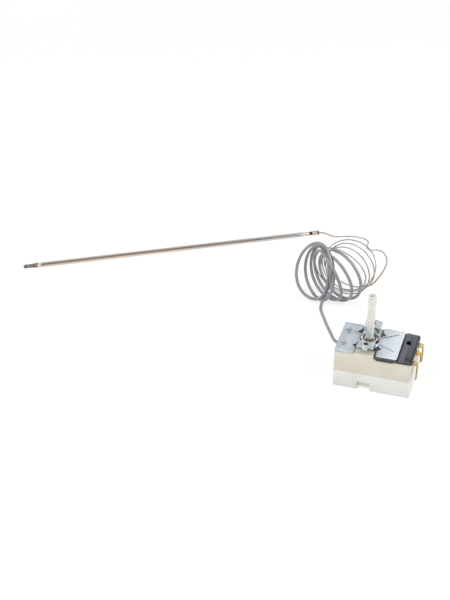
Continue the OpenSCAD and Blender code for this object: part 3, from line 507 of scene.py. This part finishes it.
SLEEVE_LEAD = [
    (-20.5, 3.6, 22.4), (-22.4, 3.75, 22.4), (-24.4, 4.4, 22.4), (-26.3, 5.6, 22.3),
    (-28, 7.3, 22.1), (-29.5, 9.5, 21.8), (-30.9, 12.2, 21.5), (-32.3, 15.2, 21.1),
    (-34.6, 20, 20.3), (-40, 33, 16.5), (-43.8, 43.5, 12.8), (-47.5, 54, 9), (-50.7, 63, 5.6),
    (-53, 70.4, 2.8), (-54.1, 73.8, 1.8), (-55, 77, 1.35), (-55.5, 80.4, 2), (-55.3, 83.3, 3.9),
    (-54.6, 85.2, 6.8), (-53.5, 86, 10.3), (-51.7, 85.7, 15.4), (-50.1, 84.3, 21.4),
    (-49, 82.4, 28.8),
]
CAPILLARY_LEAD = [
    (-48.8, 112.7, 7.4), (-42.1, 114.4, 3.6), (-34.6, 116.8, 1.2), (-28, 119.6, LYING),
    (-23.8, 123.6, LYING), (-21.2, 130, LYING), (-18.8, 142, LYING), (-17.4, 155, LYING),
    (-18, 165, LYING), (-21, 174, LYING), (-23, 177.4, LYING), (-25.4, 179.7, LYING),
    (-28.6, 180.8, LYING), (-31.6, 180, LYING), (-34.4, 179.2, LYING), (-37.2, 180, LYING),
    (-39.2, 182.4, LYING), (-39.8, 185.6, LYING), (-39.7, 189, LYING), (-40.3, 192.2, LYING),
    (-42.2, 194.8, LYING), (-45, 196.3, LYING), (-49, 197.2, LYING),
    (-53.2, 197.3, LYING), (-59, 196.2, LYING), (-66, 193.4, LYING),
    (-70.4, 192.3, LYING), (-75, 193, 0.6), (-79.5, 194.4, 0.9), (-83, 193.8, 1.5),
    (-86, 192.2, 1.95), (-88, 191.05, 2.0),
]


def between_rows(turn):
    """A smooth value of the winding's rows at any turn."""
    i = min(int(2 * turn), len(WINDING) - 2)
    t = 2 * turn - i
    rows = [WINDING[max(0, min(len(WINDING) - 1, i + k))] for k in (-1, 0, 1, 2)]
    return [0.5 * (2 * b + (c - a) * t + (2 * a - 5 * b + 4 * c - d) * t * t
                   + (3 * b - a - 3 * c + d) * t ** 3) for a, b, c, d in zip(*rows)]


def on_winding(turn):
    """A point on the winding's middle line."""
    x, y, facing, lean, radius, lift = between_rows(turn)
    facing, lean = math.radians(facing), math.radians(lean)
    ease = min(1, max(0, turn - SLEEVE_TO))
    rest = SLEEVE_D / 2 + (CAPILLARY_D - SLEEVE_D) / 2 * ease * ease * (3 - 2 * ease)
    rest += lift + CLEAR
    across = Vector((math.cos(facing), math.sin(facing), 0))
    up = Vector((-math.sin(facing) * math.sin(lean), math.cos(facing) * math.sin(lean),
                 math.cos(lean)))
    tall = radius - lift / 2
    middle = Vector((x, y, tall * math.cos(lean) + rest))
    angle = math.tau * turn
    return middle + radius * math.cos(angle) * across + tall * math.sin(angle) * up


def winding_points(start, end):
    count = round((end - start) * POINTS_PER_TURN)
    return [on_winding(start + (end - start) * k / count) for k in range(count + 1)]


sleeve_points = [Vector(p) for p in SLEEVE_LEAD] + winding_points(SLEEVE_FROM, SLEEVE_TO)
bare_points = winding_points(SLEEVE_TO, WINDING_TO) + [Vector(p) for p in CAPILLARY_LEAD]

sleeve = smooth_tube("sleeved_capillary", sleeve_points, SLEEVE_D, SLEEVE)
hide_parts("sleeve_lead", "sleeve_coil")
bare = smooth_tube("bare_capillary", bare_points, CAPILLARY_D, TINNED)
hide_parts("capillary_coil", "capillary_lead")


# Bulb

ALONG_BULB = (Matrix.Translation(BULB_END) @ Matrix.Rotation(BULB_TURN, 4, "Z")
              @ Matrix.Rotation(math.radians(-90), 4, "Y"))


def laid_along_bulb(bm):
    """Turns a mesh made along Z to where the bulb lies."""
    bmesh.ops.transform(bm, matrix=ALONG_BULB, verts=bm.verts)
    return bm


def pressed_flat(bm, start, end, thin, wide, turn=0):
    """Presses the stretch from start to end between two jaws, easing in and out."""
    jaw = Matrix.Rotation(turn, 3, "Z")
    for vert in bm.verts:
        t = (vert.co.z - start) / (end - start)
        if 0 < t < 1:
            ease = min(1, min(t, 1 - t) * 4)
            local = jaw @ vert.co
            local.x *= 1 + (thin - 1) * ease
            local.y *= 1 + (wide - 1) * ease
            vert.co = jaw.transposed() @ local


def make_bulb():
    gland = turned(rounded([(0.55, 0), (1.75, 0), (1.85, 0.5), (1.8, 1.4), (1.62, 1.7),
                            (1.7, 3), (1.7, 6.6), (1.3, 7), (1.25, 8.1), (1.66, 8.5),
                            (1.7, 11), (1.98, 19), (0.55, 19.02), (0.55, 0)], 0.25), 48)
    pressed_flat(gland, 1.9, 6.8, 0.86, 1.06, math.radians(35))
    pressed_flat(gland, 8.6, 17.5, 0.92, 1.02, math.radians(-20))
    finished("bulb_gland", laid_along_bulb(gland), GLAND_STEEL, ("bulb_neck",))
    barrel = turned(rounded([(0, BARREL_FROM), (BULB_R, BARREL_FROM), (BULB_R, 120),
                             (BULB_R, BARREL_TO), (0, BARREL_TO)], 0.15), 48)
    finished("bulb_barrel", laid_along_bulb(barrel), BULB_STEEL, ("bulb_tube",))
    seal = turned(rounded([(0, 251.4), (1.95, 251.4), (1.72, 252.2), (1.7, 254.8), (1.5, 255.2),
                           (1.5, 257), (1.5, 260.4), (1.1, BULB_L), (0, BULB_L)], 0.3), 48)
    # The tip's end is pinched from its sides, so it gets one more row of points to bend at
    bmesh.ops.bisect_plane(seal, geom=seal.verts[:] + seal.edges[:] + seal.faces[:],
                           plane_co=(0, 0, 258.5), plane_no=(0, 0, 1))
    for vert in seal.verts:
        t = min(1, max(0, (vert.co.z - 255.5) / 4))
        vert.co.x *= 1 + 0.25 * t
        vert.co.y *= 1 - 0.5 * t
    finished("bulb_seal", laid_along_bulb(seal), BULB_STEEL, ("bulb_tip",))


make_bulb()


# Shaft and ring

def make_shaft():
    """The shaft with its end's recess, and the bore that its steel core stands in."""
    outside = [(CORE_R, SHAFT_FOOT), (2.9, SHAFT_FOOT), (SHAFT_R, SHAFT_FOOT + 0.3),
               (SHAFT_R, SHAFT_END - 0.5), (2.7, SHAFT_END), (2.2, SHAFT_END),
               (2.05, SHAFT_END - 0.4), (2.05, SHAFT_END - 3), (0, SHAFT_END - 3)]
    shaft = turned(rounded(outside, 0.2))
    bore = turned([(0, SHAFT_FOOT + CORE_H), (CORE_R, SHAFT_FOOT + CORE_H),
                   (CORE_R, SHAFT_FOOT)])
    mesh = bpy.data.meshes.new("bore")
    bore.to_mesh(mesh)
    bore.free()
    shaft.from_mesh(mesh)
    bpy.data.meshes.remove(mesh)
    bmesh.ops.remove_doubles(shaft, verts=shaft.verts, dist=0.002)
    bmesh.ops.recalc_face_normals(shaft, faces=shaft.faces)
    finished("dial_shaft", shaft, NATURAL, ("shaft",), body="dial_shaft")


def make_ring():
    z = RING_Z
    section = [(RING_BORE, z), (6.65, z), (RING_R, z + 0.8), (6.6, z + 1.6), (5.7, z + 2),
               (4.95, z + 1.6), (4.6, z + 0.9), (RING_BORE, z + 0.75), (RING_BORE, z)]
    finished("rolled_ring", turned(rounded(section, 0.4, 5)), RING_STEEL,
             ("shaft_ring",))


make_shaft()
make_ring()


# Housing

def in_shade(middle, normal):
    """Faces given painted shade: the plate's underside and the walls of its holes, of the
    stakes' slots, of the ribs and of the ears' windows.
    """
    steep = abs(normal.z) < 0.6
    hole = Vector((middle.x, abs(middle.y) - EAR_Y)).length < HOLE_R + 0.2
    stake = Vector((middle.x - STRAP_X, abs(middle.y) - STRAP_Y)).length < 3
    window = abs(middle.x) < 4.2 and abs(normal.x) > 0.5 and middle.z > PLATE_TOP + 0.3
    rib = (8.5 < middle.x < 20 and abs(middle.y) < 10 and middle.z > PLATE_TOP
           and normal.y < -0.4)
    return normal.z < -0.3 or rib or steep and (hole or stake or window)


def sheared(middle, normal):
    """A blade's cut edges."""
    return abs(normal.y) > 0.6


# Each with the width in millimetres by which its edges are eased
softened("base", "bottom_tray", 0.35)
softened("case", "upper_case", 0.25)
softened("liner", "case_liner", 0.1)
softened("switch_cover", "terminal_hood", 0.3)
softened("mounting_plate", "face_plate", 0.15, second=SHADED_ZINC, where=in_shade)
softened("fixing_straps", "twisted_straps", 0.12)
for side in ("front", "middle", "back"):
    softened("terminal_" + side, "blade_" + side, 0.1, second=CUT_BRASS,
             where=sheared)


# Floor, world and lights

WORLD_LEVEL = 0.55
FLOOR_SHADE, FLOOR_GLOW = 0.3, 0.74
# Metres from the origin between which the floor fades into the white background
FLOOR_FADE = (0.5, 0.9)
WHITE_LIGHT = (1, 1, 1, 1)
LAMP_AIM = (0, 0.05, 0.03)


def seen_directly(tree):
    """1 for rays from the camera, off gloss or through glass; 0 for rays that light things."""
    path = tree.nodes.new("ShaderNodeLightPath")
    total = path.outputs["Is Camera Ray"]
    for name in ("Is Glossy Ray", "Is Transmission Ray"):
        add = tree.nodes.new("ShaderNodeMath")
        add.operation = "MAXIMUM"
        tree.links.new(total, add.inputs[0])
        tree.links.new(path.outputs[name], add.inputs[1])
        total = add.outputs[0]
    return total


def shader_node(tree, kind, colour=None, strength=None):
    """A new shader node with its plain colour and strength set."""
    node = tree.nodes.new("ShaderNode" + kind)
    if colour:
        node.inputs["Color"].default_value = colour
    if strength is not None:
        node.inputs["Strength"].default_value = strength
    return node


def mixed_shaders(tree, value, first, second):
    """A shader between two others."""
    mix = tree.nodes.new("ShaderNodeMixShader")
    tree.links.new(value, mix.inputs["Fac"])
    tree.links.new(first.outputs[0], mix.inputs[1])
    tree.links.new(second.outputs[0], mix.inputs[2])
    return mix


def make_world():
    """Pure white where it is seen, and softer where it lights the object."""
    world = bpy.data.worlds.new("white_studio")
    bpy.context.scene.world = world
    world.use_nodes = True
    tree = world.node_tree
    tree.nodes.clear()
    soft = shader_node(tree, "Background", WHITE_LIGHT, WORLD_LEVEL)
    white = shader_node(tree, "Background", WHITE_LIGHT, 1.0)
    mix = mixed_shaders(tree, seen_directly(tree), soft, white)
    out = tree.nodes.new("ShaderNodeOutputWorld")
    tree.links.new(mix.outputs[0], out.inputs["Surface"])


def floor_fade(tree):
    """0 near the origin and 1 far from it."""
    place = tree.nodes.new("ShaderNodeTexCoord")
    away = tree.nodes.new("ShaderNodeVectorMath")
    away.operation = "LENGTH"
    fade = tree.nodes.new("ShaderNodeMapRange")
    fade.interpolation_type = "SMOOTHSTEP"
    fade.inputs["From Min"].default_value, fade.inputs["From Max"].default_value = FLOOR_FADE
    tree.links.new(place.outputs["Object"], away.inputs[0])
    tree.links.new(away.outputs["Value"], fade.inputs["Value"])
    return fade.outputs["Result"]


def floor_material():
    """Plain and pale to the light; seen, it is white with the shadows on it."""
    material = bpy.data.materials.new("pale_floor")
    material.use_nodes = True
    tree = material.node_tree
    tree.nodes.clear()
    plain = shader_node(tree, "BsdfDiffuse", (0.8, 0.8, 0.8, 1))
    faint = shader_node(tree, "BsdfDiffuse", (FLOOR_SHADE, FLOOR_SHADE, FLOOR_SHADE, 1))
    light = shader_node(tree, "Emission", WHITE_LIGHT, FLOOR_GLOW)
    both = shader_node(tree, "AddShader")
    tree.links.new(faint.outputs[0], both.inputs[0])
    tree.links.new(light.outputs[0], both.inputs[1])
    faded = mixed_shaders(tree, floor_fade(tree), both, shader_node(tree, "BsdfTransparent"))
    mix = mixed_shaders(tree, seen_directly(tree), plain, faded)
    out = tree.nodes.new("ShaderNodeOutputMaterial")
    tree.links.new(mix.outputs[0], out.inputs["Surface"])
    return material


def make_floor():
    bm = bmesh.new()
    bmesh.ops.create_grid(bm, x_segments=2, y_segments=2, size=4)
    mesh = bpy.data.meshes.new("floor")
    bm.to_mesh(mesh)
    bm.free()
    mesh.materials.append(floor_material())
    floor = bpy.data.objects.new("floor", mesh)
    floor.location = (0, 0, -0.00002)
    bpy.context.scene.collection.objects.link(floor)


def make_lamp(name, place, size, watts):
    """A square lamp that points at LAMP_AIM, between the housing and the winding."""
    lamp = bpy.data.lights.new(name, "AREA")
    lamp.energy = watts
    lamp.size = size
    piece = bpy.data.objects.new(name, lamp)
    piece.location = place
    aim = Vector(LAMP_AIM) - Vector(place)
    piece.rotation_euler = aim.to_track_quat("-Z", "Y").to_euler()
    bpy.context.scene.collection.objects.link(piece)


make_world()
make_floor()
make_lamp("key_lamp", (-0.7, -0.9, 1.3), 0.9, 12.5)
make_lamp("side_lamp", (1.1, -0.1, 0.8), 0.8, 8)
